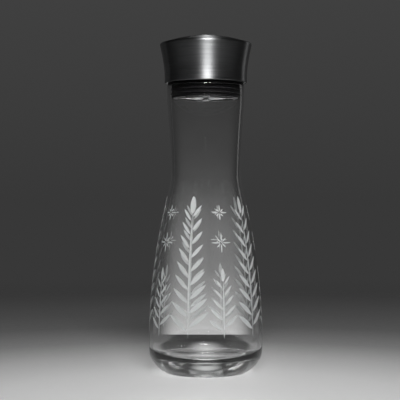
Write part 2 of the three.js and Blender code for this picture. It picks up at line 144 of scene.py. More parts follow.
def choose(*pieces: Object) -> None:
    """Select these pieces alone, with the first of them active.

    Args:
        pieces: The pieces, or none to deselect everything.
    """
    bpy.ops.object.select_all(action="DESELECT")
    for piece in pieces:
        piece.select_set(True)
    if pieces:
        bpy.context.view_layer.objects.active = pieces[0]


@contextmanager
def editing() -> Iterator[None]:
    """Edit the mesh of the active piece, with all of it selected at first.

    Returns:
        The context.
    """
    bpy.ops.object.mode_set(mode="EDIT")
    bpy.ops.mesh.select_all(action="SELECT")
    yield
    bpy.ops.object.mode_set(mode="OBJECT")


def modify(piece: Object, kind: str, **settings: Any) -> None:
    """Add a modifier to the active piece and apply it.

    Args:
        piece: The piece, which is active.
        kind: Blender's name for the modifier.
        settings: Properties of the modifier.
    """
    bpy.ops.object.modifier_add(type=kind)
    modifier = piece.modifiers[-1]
    for key, value in settings.items():
        setattr(modifier, key, value)
    bpy.ops.object.modifier_apply(modifier=modifier.name)


def smooth(sharp: float) -> None:
    """Shade the selected piece smooth, but for edges that fold by more degrees than this."""
    bpy.ops.object.shade_smooth_by_angle(angle=math.radians(sharp))


def turned(name: str, outline: Sequence[Point], facets: int) -> Object:
    """Turn an outline about the axis, as on a lathe.

    Args:
        name: Name of the piece.
        outline: Points as (radius, height) in millimetres. One that leaves the axis is joined to its start.
        facets: Facets round the axis.

    Returns:
        The closed piece, at the origin.
    """
    points = [outline[0]]
    points += [p for p, before in zip(outline[1:], outline) if math.dist(p, before) > SAME_POINT]
    if points[0][0] > 0 or points[-1][0] > 0:
        points.append(points[0])
    choose()
    bpy.ops.mesh.primitive_plane_add(size=MM)
    piece = bpy.context.active_object
    piece.name = piece.data.name = name
    with editing():
        bpy.ops.mesh.select_mode(type="VERT")
        bpy.ops.mesh.merge(type="CENTER")
        bpy.ops.transform.translate(value=(points[0][0] * MM, 0, points[0][1] * MM))
        for here, there in zip(points, points[1:]):
            step = ((there[0] - here[0]) * MM, 0, (there[1] - here[1]) * MM)
            bpy.ops.mesh.extrude_region_move(TRANSFORM_OT_translate={"value": step})
        bpy.ops.mesh.select_all(action="SELECT")
        bpy.ops.mesh.spin(steps=facets, angle=math.tau, center=ORIGIN, axis=AXIS)
        bpy.ops.mesh.select_all(action="SELECT")
        bpy.ops.mesh.remove_doubles(threshold=WELD)
        bpy.ops.mesh.normals_make_consistent()
    smooth(40)
    return piece


def pick(piece: Object, wanted: Callable[[Any], bool], kind: MeshPart) -> None:
    """Select parts of a mesh in edit mode by their place.

    Args:
        piece: The piece being edited.
        wanted: Says of one vertex or face whether it is taken.
        kind: What is picked.
    """
    bpy.ops.mesh.select_mode(type=kind.value)
    bpy.ops.mesh.select_all(action="DESELECT")
    mesh = bmesh.from_edit_mesh(piece.data)
    for part in mesh.verts if kind is MeshPart.VERTS else mesh.faces:
        part.select_set(wanted(part))
    mesh.select_flush_mode()
    bmesh.update_edit_mesh(piece.data)


def add(
    tree: NodeTree,
    kind: str,
    sockets: Sockets | None = None,
    stops: Sequence[tuple[float, Colour]] = (),
    **settings: Any,
) -> Node:
    """Add a node with its settings, values and links.

    Args:
        tree: Tree that gets the node.
        kind: Blender's name for the node, after the word ShaderNode.
        sockets: For each input, a value to set, or an output or a node to link.
        stops: Places and colours on a colour ramp.
        settings: Properties of the node.

    Returns:
        The node.
    """
    made = tree.nodes.new("ShaderNode" + kind)
    for key, value in settings.items():
        setattr(made, key, value)
    for key, value in (sockets or {}).items():
        if isinstance(value, Node):
            value = next(output for output in value.outputs if output.enabled)
        if isinstance(value, NodeSocket):
            tree.links.new(value, made.inputs[key])
        else:
            made.inputs[key].default_value = value
    if stops:
        for _ in stops[2:]:
            made.color_ramp.elements.new(0.5)
        for stop, (place, colour) in zip(made.color_ramp.elements, stops):
            stop.position, stop.color = place, colour
    return made


# Finishes


@dataclass(frozen=True)
class Finish:
    """A finish that builds its own node material."""

    name: str = "finish"

    def nodes(self, tree: NodeTree) -> Node:
        """Build the nodes and return the shader."""
        raise NotImplementedError

    def depth(self, tree: NodeTree) -> Node | None:
        """Build and return the node of what fills the piece, if light is lost in it."""
        return None

    @cache
    def material(self) -> Material:
        """Make the finish's material, once.

        Returns:
            The material that holds the finish's nodes.
        """
        made = bpy.data.materials.new(self.name)
        made.use_nodes = True
        tree = made.node_tree
        tree.nodes.clear()
        ends = {"Surface": self.nodes(tree)}
        if filling := self.depth(tree):
            ends["Volume"] = filling
        add(tree, "OutputMaterial", ends)
        return made


@dataclass(frozen=True)
class Grained(Finish):
    """A finish whose tone, roughness and relief follow one fine grain."""

    crest: str = "ffffff"  # tone where the grain is high, and where it is low
    valley: str = "ffffff"
    grain: float = 1.0
    smooth: float = 0.5
    coarse: float = 0.5
    detail: float = 3.0
    relief: float = 0.0
    relief_height: float = 0.05
    span: Point = (0.0, 1.0)  # grain at which the surface is smooth and at which it is coarse

    def surface(self, tree: NodeTree) -> Sockets:
        """Give the shader's sockets that the grain leaves alone."""
        raise NotImplementedError

    def pattern(self, tree: NodeTree) -> Sockets:
        """Give the sockets of the grain's noise: where it is read and how fine it is."""
        place = add(tree, "TexCoord").outputs["Object"]
        return {"Vector": place, "Scale": 1 / (self.grain * MM)}

    def nodes(self, tree: NodeTree) -> Node:
        """Build the nodes.

        Args:
            tree: The finish's nodes.

        Returns:
            The shader.
        """
        noise = add(tree, "TexNoise", {**self.pattern(tree), "Detail": self.detail})
        tones = {0: noise, 6: linear(self.valley), 7: linear(self.crest)}
        (low, high), fine = self.span, self.smooth
        ends = {"Value": noise, "From Min": low, "From Max": high, "To Min": fine, "To Max": self.coarse}
        sockets = {
            "Base Color": add(tree, "Mix", tones, data_type="RGBA"),
            "Roughness": add(tree, "MapRange", ends) if self.coarse > fine else fine,
            **self.surface(tree),
        }
        if self.relief:
            raised = {"Height": noise, "Strength": self.relief, "Distance": self.relief_height * MM}
            sockets["Normal"] = add(tree, "Bump", raised)
        return add(tree, "BsdfPrincipled", sockets)


@dataclass(frozen=True)
class Dielectric(Grained):
    """Glass or a moulded polymer: even colour, with a fine grain that breaks the gloss."""

    relief: float = 0.2
    ior: float = 1.51
    gloss: float = 0.5
    clear: float = 0.0

    def surface(self, tree: NodeTree) -> Sockets:
        """Give the sockets of its gloss and clearness."""
        return {"IOR": self.ior, "Specular IOR Level": self.gloss, "Transmission Weight": self.clear}


@dataclass(frozen=True)
class BlownGlass(Dielectric):
    """Soda-lime glass, blown and fire-polished.

    Clear with hardly any tint where it is thin, darker where the eye looks along the wall or into the heavy
    base, and a faint wave left by the blowing.
    """

    name: str = "blown_soda_lime_glass"
    crest: str = "f4f4f4"
    valley: str = "fbfbfb"
    grain: float = 16.0
    smooth: float = 0.0
    coarse: float = 0.0
    detail: float = 1.0
    relief: float = 0.35
    relief_height: float = 0.02
    clear: float = 1.0
    shadow: str = "ececec"
    body: str = "c8cbca"
    loss: float = 9.0

    def depth(self, tree: NodeTree) -> Node:
        """Build and return the node of the light that is lost in the glass."""
        return add(tree, "VolumeAbsorption", {"Color": linear(self.body), "Density": self.loss})

    def nodes(self, tree: NodeTree) -> Node:
        """Build the nodes.

        Args:
            tree: The finish's nodes.

        Returns:
            The shader.
        """
        glass = super().nodes(tree)
        # Lamps shine through the wall, so that what stands inside or behind it is lit.
        clear = add(tree, "BsdfTransparent", {"Color": linear(self.shadow)})
        shaded = add(tree, "LightPath").outputs["Is Shadow Ray"]
        return add(tree, "MixShader", {0: shaded, 1: glass, 2: clear})


@dataclass(frozen=True)
class WheelCut(Dielectric):
    """Glass ground by a stone wheel and left unpolished.

    Pale grey and matt, a little see-through, with the grit's grain showing along the cut.
    """

    name: str = "wheel_cut_frosted_glass"
    crest: str = "e4e6e6"
    valley: str = "bfc2c2"
    grain: float = 0.9  # the wheel's grit is under 0.1 mm; drawn this coarse so that it shows
    coarse: float = 0.75
    relief: float = 0.4
    clear: float = 0.35


@dataclass(frozen=True)
class TurnedSteel(Grained):
    """Stainless steel finished on the lathe with an abrasive belt.

    Fine lines run round the axis, so a lamp smears into a bright streak across them.
    """

    name: str = "brushed_stainless_steel"
    crest: str = "a8a9aa"
    valley: str = "767778"
    grain: float = 0.8  # belt lines are about 0.1 mm apart; drawn this coarse so that they show
    smooth: float = 0.35
    coarse: float = 0.48
    relief: float = 0.15
    span: Point = (0.3, 0.7)
    run: float = 24.0  # length of a line along the turn, at this radius:
    run_radius: float = 36.0
    fray: float = 0.6  # how strongly the finer lines show
    smear: float = 0.9
    turn: float = 0.25

    def surface(self, tree: NodeTree) -> Sockets:
        """Give the sockets of a metal that smears a lamp across its lines."""
        way = add(tree, "Tangent", direction_type="RADIAL", axis="Z")
        return {"Metallic": 1.0, "Anisotropic": self.smear, "Anisotropic Rotation": self.turn, "Tangent": way}

    def pattern(self, tree: NodeTree) -> Sockets:
        """Stretch the noise round the axis.

        Args:
            tree: The finish's nodes.

        Returns:
            The noise's sockets.
        """
        place = add(tree, "TexCoord").outputs["Object"]
        flat = add(tree, "VectorMath", {0: place, 1: (1, 1, 0)}, operation="MULTIPLY")
        radius = add(tree, "VectorMath", {0: flat}, operation="LENGTH")
        around = add(tree, "VectorMath", {0: flat}, operation="NORMALIZE")
        height = add(tree, "SeparateXYZ", {0: place}).outputs["Z"]
        across = add(tree, "Math", {0: height, 1: radius}, operation="ADD")
        lines = add(tree, "Math", {0: across, 1: 1 / (self.grain * MM)}, operation="MULTIPLY")
        along = add(tree, "VectorMath", {0: around, "Scale": self.run_radius / self.run}, operation="SCALE")
        up = add(tree, "CombineXYZ", {"Z": lines})
        where = add(tree, "VectorMath", {0: along, 1: up}, operation="ADD")
        return {"Vector": where, "Scale": 1.0, "Roughness": self.fray}


@dataclass(frozen=True)
class PolishedSteel(Grained):
    """Stainless steel, tumbled and polished: mirror-like, with faint handling marks."""

    name: str = "polished_stainless_steel"
    crest: str = "cfd0d1"
    valley: str = "bcbdbe"
    grain: float = 3.0
    smooth: float = 0.1
    coarse: float = 0.24
    detail: float = 4.0

    def surface(self, tree: NodeTree) -> Sockets:
        """Give the sockets of a metal."""
        return {"Metallic": 1.0}


GLASS = BlownGlass()
CUT_GLASS = WheelCut()
BRUSHED_STEEL = TurnedSteel()
FACED_STEEL = TurnedSteel("faced_stainless_steel", smooth=0.6, coarse=0.75)
POLISHED_STEEL = PolishedSteel()
# The mould's spark grain is about 0.1 mm; it is drawn four to six times as coarse so that it shows.
SILICONE = Dielectric("moulded_silicone", "0f0f10", "0a0a0b", 0.5, 0.6, 0.8, ior=1.41, gloss=0.15)
POLYPROPYLENE = Dielectric("moulded_polypropylene", "222324", "19191a", 0.6, 0.35, 0.5, ior=1.49)
ACETAL = Dielectric("turned_acetal", "dedcd5", "d0cec6", 0.4, 0.3, 0.42, ior=1.48)


def coat(piece: Object, finish: Finish) -> None:
    """Give a piece one finish, in place of any that it has."""
    piece.data.materials.clear()
    piece.data.materials.append(finish.material())


def settle(piece: Object, body: Body, slot: Slot, finish: Finish, *nodes: str) -> None:
    """Give a finished piece its finish, the body it rides on and the solids it stands for.

    Args:
        piece: The piece, at the origin.
        body: Body that carries it.
        slot: Record's slot for its finish. Not used.
        finish: The finish.
        nodes: Solids that it replaces.
    """
    coat(piece, finish)
    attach(piece, body.value)
    if nodes:
        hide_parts(*nodes)
    LOG.info("%s: %d faces on %s", piece.name, len(piece.data.polygons), body.value)


# The carafe


@dataclass
class GlassVessel:
    """Blown glass body: heavy floor, heel, swelling side, waist, neck and polished rim."""

    height: float = 248.0
    wall: float = 2.8
    floor: float = 14.0
    floor_corner: float = 9.0
    floor_ring: float = 20.0  # a ring of points on the flat of the floor
    body_radius: float = 49.0
    heel_height: float = 20.0
    heel_round: float = 8.0
    heel_lead_out: float = 9.5
    heel_lead_up: float = 5.5
    foot_radius: float = 35.0
    punt_radius: float = 27.0
    punt_depth: float = 1.4
    fullness: float = 90.0
    waist_radius: float = 29.9
    waist_height: float = 170.0
    waist_below: float = 15.0
    waist_above: float = 20.0
    neck_radius: float = 33.4
    neck_straight: float = 13.0
    neck_ease: float = 2.0
    facets: int = 192

    def side(self, inset: float, low: float) -> Outline:
        """Draw one face of the side, from the body up to the straight neck.

        Args:
            inset: How far it lies inside the outer face.
            low: Height at which it starts.

        Returns:
            The outline.
        """
        body, waist, neck = (r - inset for r in (self.body_radius, self.waist_radius, self.neck_radius))
        full, middle = self.heel_height + self.fullness, self.waist_height
        top = self.height - self.neck_straight
        under, over, ease = middle - self.waist_below, middle + self.waist_above, top - self.neck_ease
        return [
            *bezier(44, (body, low), (body, full), (waist, under), (waist, middle)),
            *bezier(24, (waist, middle), (waist, over), (neck, ease), (neck, top)),
        ]

    def outline(self) -> Outline:
        """Draw half of the section, up the outside and down the inside.

        Returns:
            The outline, from the axis under the foot to the axis on the inner floor.
        """
        lip = self.wall / 2
        body, inside = self.body_radius, self.body_radius - self.wall
        foot, heel, corner = self.foot_radius, self.heel_height, self.floor + self.floor_corner
        lead = (foot + self.heel_lead_out, self.heel_lead_up)
        return [
            *bezier(8, (0, self.punt_depth), (self.punt_radius / 2, self.punt_depth), (self.punt_radius, 0)),
            *bezier(20, (foot, 0), lead, (body, heel - self.heel_round), (body, heel)),
            *self.side(0, heel),
            *arc(12, (self.neck_radius - lip, self.height - lip), lip, 0, 180),
            *reversed(self.side(self.wall, corner)),
            *bezier(14, (inside, corner), (inside, self.floor), (inside - self.floor_corner, self.floor)),
            (self.floor_ring, self.floor),
            (0, self.floor),
        ]

    def build(self) -> Object:
        """Turn the body and dress it in glass.

        Returns:
            The glass.
        """
        glass = turned("glass_vessel", self.outline(), self.facets)
        settle(glass, Body.VESSEL, Slot.GLASS, GLASS, "glass_body")
        return glass


@dataclass(frozen=True)
class Sprig:
    """An upright sprig of paired leaves. Widths and the tip's length are shares of a leaf's length."""

    top: float
    pairs: int
    longest: float
    foot: float = 34.0
    tip: float = 0.75
    tip_width: float = 0.22
    leaf_width: float = 0.2
    stem_width: float = 1.5
    stem_lap: float = 1.0
    bare_foot: float = 8.0
    bare_top: float = 4.0
    shrink: float = 0.42  # by how much the highest leaves are shorter
    lean: float = 52.0
    lean_less: float = 18.0  # by how many degrees they stand steeper
    aside: float = 0.9
    stagger: float = 1.6


@dataclass(frozen=True)
class Star:
    """A star of long and short rays by turns."""

    height: float
    size: float
    rays: int = 8
    short: float = 0.6
    width: float = 1.1
    hollow: float = 1.0


@dataclass
class CutPattern:
    """Sprigs and stars, cut into the outside of the glass with a wheel."""

    groups: int = 5
    first_turn: float = 18.0
    tall: Sprig = Sprig(152.0, 9, 20.0)
    low: Sprig = Sprig(92.0, 5, 15.0)
    upper: Star = Star(138.0, 5.5)
    lower: Star = Star(113.0, 7.5)
    standoff: float = 70.0  # the cuts are laid out this far in front of the axis, then pressed on
    leaf_steps: int = 10
    stem_steps: int = 40
    ray_steps: int = 6
    lie: float = 0.05
    edge: float = 0.1
    skin: float = 0.04
    belly: float = 0.9  # under 1, a cut is widest before its middle
    blunt: float = 0.75  # under 1, its ends are blunter

    def stroke(self, segments: int) -> Object:
        """Model one cut, a unit long and wide, pointed at both ends.

        Args:
            segments: Stretches along its length.

        Returns:
            The cut, flat at the origin.
        """
        choose()
        bpy.ops.mesh.primitive_grid_add(x_subdivisions=segments, y_subdivisions=2, size=1)
        cut = bpy.context.active_object
        with editing():
            rows = sorted({round(v.co.x, 5) for v in bmesh.from_edit_mesh(cut.data).verts})
            for row in rows:
                pick(cut, lambda v, row=row: abs(v.co.x - row) < UNIT_WELD, MeshPart.VERTS)
                inner = row not in (rows[0], rows[-1])
                share = math.sin(math.pi * (row + 0.5) ** self.belly) ** self.blunt if inner else 0.0
                bpy.ops.transform.resize(value=(1, share, 1), center_override=(row, 0, 0))
            bpy.ops.mesh.select_all(action="SELECT")
            bpy.ops.mesh.remove_doubles(threshold=UNIT_WELD)
        return cut

    def lay(self, cut: Object, start: Point, length: float, width: float, turn: float) -> Object:
        """Lay a copy of a cut in front of the glass.

        Args:
            cut: The cut to copy.
            start: Where it starts, as (sideways, height).
            length: Its length.
            width: Its width.
            turn: Degrees from straight up, clockwise as seen from the front.

        Returns:
            The copy, with its place applied to its own mesh.
        """
        choose(cut)
        bpy.ops.object.duplicate()
        copy = bpy.context.active_object
        lean = math.radians(turn)
        middle = (start[0] + math.sin(lean) * length / 2, start[1] + math.cos(lean) * length / 2)
        copy.scale = (length * MM, width * MM, 1)
        copy.rotation_euler = (math.pi / 2, lean - math.pi / 2, 0)
        copy.location = (middle[0] * MM, -self.standoff * MM, middle[1] * MM)
        bpy.ops.object.transform_apply()
        return copy

    def press(self, name: str, cuts: list[Object], glass: Object, first: float) -> Object:
        """Join cuts, press them on the glass, give them depth and repeat them round the axis.

        Args:
            name: Name of the piece.
            cuts: Cuts laid out in front of the glass.
            glass: The glass.
            first: Degrees that the first group is turned from the front.

        Returns:
            The piece.
        """
        choose(*cuts)
        bpy.ops.object.join()
        piece = cuts[0]
        piece.name = piece.data.name = name
        way = {"wrap_method": "PROJECT", "wrap_mode": "ABOVE_SURFACE", "use_project_y": True}
        modify(piece, "SHRINKWRAP", target=glass, offset=self.lie * MM, use_positive_direction=True, **way)
        with editing():
            bpy.ops.mesh.region_to_loop()
            bpy.ops.transform.shrink_fatten(value=self.edge * MM)
        modify(piece, "SOLIDIFY", thickness=self.skin * MM, offset=-1)
        piece.rotation_euler = (0, 0, math.radians(first))
        bpy.ops.object.transform_apply()
        with editing():
            more = self.groups - 1
            angle = math.tau * more / self.groups
            bpy.ops.mesh.spin(steps=more, dupli=True, angle=angle, center=ORIGIN, axis=AXIS)
        smooth(50)
        return piece

    def lay_sprig(self, leaf: Object, stem: Object, plan: Sprig) -> list[Object]:
        """Lay out one sprig.

        Args:
            leaf: The cut for a leaf.
            stem: The cut for a stem.
            plan: The sprig's sizes.

        Returns:
            Its cuts.
        """
        tip = plan.longest * plan.tip
        neck = plan.top - tip
        cuts = [
            self.lay(stem, (0, plan.foot), neck - plan.foot + plan.stem_lap, plan.stem_width, 0),
            self.lay(leaf, (0, neck), tip, plan.longest * plan.tip_width, 0),
        ]
        for i in range(plan.pairs):
            share = i / (plan.pairs - 1)
            low = plan.foot + plan.bare_foot
            height = low + share * (neck - plan.bare_top - low)
            length = plan.longest * (1 - plan.shrink * share)
            lean = plan.lean - plan.lean_less * share
            for side in (-1, 1):
                start = (side * plan.aside, height + side * plan.stagger)
                cuts.append(self.lay(leaf, start, length, length * plan.leaf_width, side * lean))
        return cuts

    def lay_star(self, ray: Object, plan: Star) -> list[Object]:
        """Lay out one star.

        Args:
            ray: The cut for a ray.
            plan: The star's sizes.

        Returns:
            Its cuts.
        """
        cuts = []
        for i in range(plan.rays):
            turn = math.tau * i / plan.rays
            start = (plan.hollow * math.sin(turn), plan.height + plan.hollow * math.cos(turn))
            length = plan.size * (plan.short if i % 2 else 1)
            cuts.append(self.lay(ray, start, length, plan.width, math.degrees(turn)))
        return cuts

    def build(self, glass: Object) -> None:
        """Cut the whole pattern.

        Args:
            glass: The glass that carries it.
        """
        leaf, stem, ray = map(self.stroke, (self.leaf_steps, self.stem_steps, self.ray_steps))
        ahead = -self.first_turn
        between = ahead + 180 / self.groups
        for name, cuts, first in (
            ("cut_tall_sprigs", self.lay_sprig(leaf, stem, self.tall), ahead),
            ("cut_short_sprigs", self.lay_sprig(leaf, stem, self.low), between),
            ("cut_upper_stars", self.lay_star(ray, self.upper), between),
            ("cut_lower_stars", self.lay_star(ray, self.lower), between),
        ):
            settle(self.press(name, cuts, glass, first), Body.VESSEL, Slot.GLASS, CUT_GLASS)
        for pattern in (leaf, stem, ray):
            bpy.data.objects.remove(pattern)


@dataclass
class SteelCollar:
    """Drawn collar with a turned-in foot, a flared side and a rolled rim."""

    sheet: float = 1.0
    foot: float = 249.8
    foot_inner: float = 28.1
    corner: float = 0.5
    corner_ease: float = 0.1
    corner_inside: float = 1.7
    side: float = 254.8
    side_radius: float = 35.6
    flare: float = 264.8
    rim: float = 283.927
    rim_radius: float = 39.7
    bead: float = 2.6
    bead_foot: float = 282.727
    bead_gap: float = 0.02
    facets: int = 160

    def outline(self) -> Outline:
        """Draw the collar's sheet, up the outside, over the rim and down the inside.

        Returns:
            The outline.
        """
        roll, edge = self.bead / 2, self.rim_radius
        top = self.rim - roll
        t, wide, foot, big, ease = self.sheet, self.side_radius, self.foot, self.corner, self.corner_ease
        flare = bezier(28, (wide, self.side), (wide, self.flare), (edge, top))
        corner = (wide - big, foot), (wide - ease, foot), (wide, foot + ease), (wide, foot + big)
        return [
            (self.foot_inner, foot),
            *bezier(6, *corner),
            *flare,
            *arc(12, (edge - roll, top), roll, 0, 180),
            (edge - self.bead, self.bead_foot),
            (edge - t - self.bead_gap, self.bead_foot),
            *((r - t, z) for r, z in reversed(flare) if z < self.bead_foot - t),
            (wide - t, foot + self.corner_inside),
            (wide - self.corner_inside, foot + t),
            (self.foot_inner, foot + t),
        ]

    def build(self) -> None:
        """Turn the collar and dress it in brushed steel."""
        collar = turned("brushed_collar", self.outline(), self.facets)
        settle(collar, Body.CLOSURE, Slot.BRUSHED_STEEL, BRUSHED_STEEL, "steel_collar")


@dataclass
class StopperPlug:
    """Ribbed sleeve, slotted plate and screw of the plug in the neck."""

    bore: float = 28.1
    sleeve: float = 29.3
    sleeve_ease: float = 0.4
    rib: float = 30.8  # radius that a rib's curve is drawn towards
    rib_height: float = 1.8
    rib_low: float = 0.6  # how far below and above its middle it is drawn there, as shares of half its height
    rib_high: float = 0.8
    ribs: int = 3
    lip: float = 236.5
    foot: float = 237.7
    seat: float = 248.3
    top: float = 249.5
    flange: float = 32.4
    flange_swell: float = 0.6
    plate_radius: float = 28.0
    plate_foot: float = 236.4
    plate_top: float = 237.4
    plate_edge: float = 0.15
    plate_hole: float = 1.6
    slots: int = 4
    slot_inner: float = 17.3
    slot_outer: float = 25.0
    slot_ends: float = 7.6
    screw_head: float = 3.0
    screw_foot: float = 234.7
    screw_top: float = 236.1
    screw_end: float = 240.3
    screw_point: float = 0.3
    screw_radius: float = 1.3
    recess_radius: float = 1.15
    recess_depth: float = 0.8
    sleeve_facets: int = 128
    plate_facets: int = 96
    screw_facets: int = 48

    def build_sleeve(self) -> None:
        """Turn the ribbed sleeve with rounded ribs and dress it in silicone."""
        pitch = (self.seat - self.foot) / self.ribs
        half = self.rib_height / 2
        ease, wall, rib, low, high = self.sleeve_ease, self.sleeve, self.rib, self.rib_low, self.rib_high
        wide, swell = self.flange, self.flange_swell
        outline: Outline = [(self.bore, self.lip), (wall - ease, self.lip), (wall, self.lip + ease)]
        for i in range(self.ribs):
            middle = self.foot + pitch * (i + 0.5)
            heights = (middle - half, middle - half * low, middle + half * high, middle + half)
            outline += bezier(10, *zip((wall, rib, rib, wall), heights))
        outline += [(wall, self.seat)]
        outline += bezier(6, (wide, self.seat), (wide + swell, self.seat + swell), (wide, self.top))
        outline += [(self.bore, self.top)]
        sleeve = turned("ribbed_sleeve", outline, self.sleeve_facets)
        settle(sleeve, Body.CLOSURE, Slot.SILICONE, SILICONE, "stopper_seal")

    def build_plate(self) -> None:
        """Turn the plate, open its slots and dress it in faced steel."""
        low, high, soft, wide = self.plate_foot, self.plate_top, self.plate_edge, self.plate_radius
        rings = (self.plate_hole, self.slot_inner, self.slot_outer, wide - soft)
        outline = [*((r, low) for r in rings), (wide, low + soft), (wide, high - soft)]
        outline += [(r, high) for r in reversed(rings)]
        plate = turned("slotted_plate", outline, self.plate_facets)
        with editing():
            for i in range(self.slots):
                centre = 360 / self.slots * (i + 0.5)
                pick(plate, lambda f, centre=centre: self.in_slot(f, centre), MeshPart.FACES)
                bpy.ops.mesh.bridge_edge_loops()
        smooth(35)
        settle(plate, Body.CLOSURE, Slot.POLISHED_STEEL, FACED_STEEL, "retainer_plate")

    def in_slot(self, face: Any, centre: float) -> bool:
        """Say whether a flat face of the plate lies in the slot about an angle.

        Args:
            face: A face of the plate.
            centre: Degrees round the axis of the slot's middle.

        Returns:
            True if the face is part of the slot.
        """
        middle = face.calc_center_median()
        radius = math.hypot(middle.x, middle.y) / MM
        angle = math.degrees(math.atan2(middle.y, middle.x)) % 360
        flat = abs(face.normal.z) > 0.9
        half = 180 / self.slots - self.slot_ends
        return flat and self.slot_inner < radius < self.slot_outer and abs(angle - centre) < half

    def build_screw(self) -> None:
        """Turn the pan-head screw, sink its six-sided recess and dress it in polished steel."""
        head, foot, top, end = self.screw_head, self.screw_foot, self.screw_top, self.screw_end
        thin, point = self.screw_radius, self.screw_point
        outline = [
            (0, foot),
            *bezier(8, (head / 2, foot), (head, foot), (head, top)),
            *((thin, top), (thin, end - point), (thin - point, end), (0, end)),
        ]
        screw = turned("pan_head_screw", outline, self.screw_facets)
        wide, deep = self.recess_radius * MM, 2 * self.recess_depth * MM
        bpy.ops.mesh.primitive_cylinder_add(vertices=6, radius=wide, depth=deep, location=(0, 0, foot * MM))
        tool = bpy.context.active_object
        choose(screw)
        modify(screw, "BOOLEAN", object=tool, operation="DIFFERENCE", solver="EXACT")
        bpy.data.objects.remove(tool)
        smooth(30)
        settle(screw, Body.CLOSURE, Slot.POLISHED_STEEL, POLISHED_STEEL, "retainer_screw")

    def build(self) -> None:
        """Build the plug's pieces that show below the collar."""
        self.build_sleeve()
        self.build_plate()
        self.build_screw()


@dataclass
class PourFunnel:
    """Deep-drawn funnel: flange, throat, cone, seat ledge and a lip under the rolled rim."""

    sheet: float = 0.8
    flange: float = 30.2
    foot: float = 254.7
    throat: float = 27.2
    throat_top: float = 267.527
    bend: float = 1.5
    bend_out: float = 0.7
    seat_inner: float = 31.86
    seat_ease: float = 0.2
    seat_foot: float = 277.727
    seat: float = 278.527
    lip_foot: float = 37.26
    lip_top_radius: float = 38.27
    lip_top: float = 282.427
    facets: int = 128

    def build(self) -> None:
        """Turn the funnel with soft bends and dress it in polished steel."""
        t, neck, lip, inner = self.sheet, self.throat_top, self.lip_foot, self.seat_inner
        foot, flange = self.foot, self.flange
        outside, under = self.throat + t, self.seat_foot - t
        outer_bend, inner_bend = (
            bezier(6, (r, neck - self.bend), (r, neck), (r + self.bend_out, neck + self.bend))
            for r in (outside, self.throat)
        )
        outline = [
            *((self.throat, foot), (flange, foot), (flange, foot + t), (outside, foot + t)),
            *outer_bend,
            (inner + t, under),
            *bezier(4, (lip - t, under), (lip, under), (lip, self.seat_foot)),
            *((r, self.lip_top) for r in (self.lip_top_radius, self.lip_top_radius - t)),
            (lip - t, self.seat),
            *bezier(4, (inner + t, self.seat), (inner + self.seat_ease, self.seat), (inner, self.seat_foot)),
            *reversed(inner_bend),
        ]
        funnel = turned("drawn_funnel", outline, self.facets)
        settle(funnel, Body.CLOSURE, Slot.POLISHED_STEEL, POLISHED_STEEL, "pour_funnel")


@dataclass
class DomedLid:
    """Pressed dome with its carrier disc and the ring that closes on the funnel's seat."""

    radius: float = 36.1
    sheet: float = 0.8
    foot: float = 281.027
    edge: float = 283.627
    edge_round: float = 1.2
    crown: float = 290.527
    carrier_bore: float = 2.3
    carrier_boss: float = 6.0
    carrier_boss_foot: float = 276.927
    carrier_radius: float = 35.0
    carrier_foot: float = 280.727
    carrier_top: float = 283.127
    carrier_ease: float = 0.3
    seal_width: float = 3.6
    seal_foot: float = 278.827
    seal_height: float = 1.6
    dome_facets: int = 160
    ring_facets: int = 96

    def build_dome(self) -> None:
        """Turn the dome and dress it in brushed steel."""
        bend, t, wide = self.edge_round, self.sheet, self.radius
        shoulder, inside, handle = self.edge + bend, wide - t, wide / 2
        outline = [
            *bezier(16, (0, self.crown - t), (handle, self.crown - t), (inside - bend, shoulder - t)),
            (inside, self.edge - t / 2),
            (inside, self.foot),
            (wide, self.foot),
            *bezier(8, (wide, self.edge), (wide, shoulder - bend / 3), (wide - bend, shoulder)),
            *bezier(24, (wide - bend, shoulder), (handle, self.crown), (0, self.crown)),
        ]
        dome = turned("pressed_dome", outline, self.dome_facets)
        settle(dome, Body.LID, Slot.BRUSHED_STEEL, BRUSHED_STEEL, "lid_dome")

    def build_carrier(self) -> None:
        """Turn the carrier disc with eased edges and dress it in plastic."""
        ease, wide, boss, bore = self.carrier_ease, self.carrier_radius, self.carrier_boss, self.carrier_bore
        under, low, high = self.carrier_boss_foot, self.carrier_foot, self.carrier_top
        outline = [(bore, under), (boss - ease, under), (boss, under + ease), (boss, low), (wide - ease, low)]
        outline += [(wide, low + ease), (wide, high - ease), (wide - ease, high), (bore, high)]
        carrier = turned("carrier_disc", outline, self.ring_facets)
        settle(carrier, Body.LID, Slot.BLACK_PLASTIC, POLYPROPYLENE, "lid_carrier")

    def build_seal(self) -> None:
        """Turn the seal with a rounded lip and dress it in silicone."""
        outer, foot, high = self.carrier_radius, self.seal_foot, self.seal_height
        inner = outer - self.seal_width
        third = self.seal_width / 3
        outline = [
            *bezier(8, (inner, foot + high / 2), (inner + third / 2, foot), (inner + third, foot)),
            *bezier(8, (outer - third, foot), (outer - third / 2, foot), (outer, foot + high / 2)),
            (outer, foot + high),
            (inner, foot + high),
        ]
        seal = turned("seal_ring", outline, self.ring_facets)
        settle(seal, Body.LID, Slot.SILICONE, SILICONE, "lid_seal")

    def build(self) -> None:
        """Build the lid's pieces."""
        self.build_dome()
        self.build_carrier()
        self.build_seal()


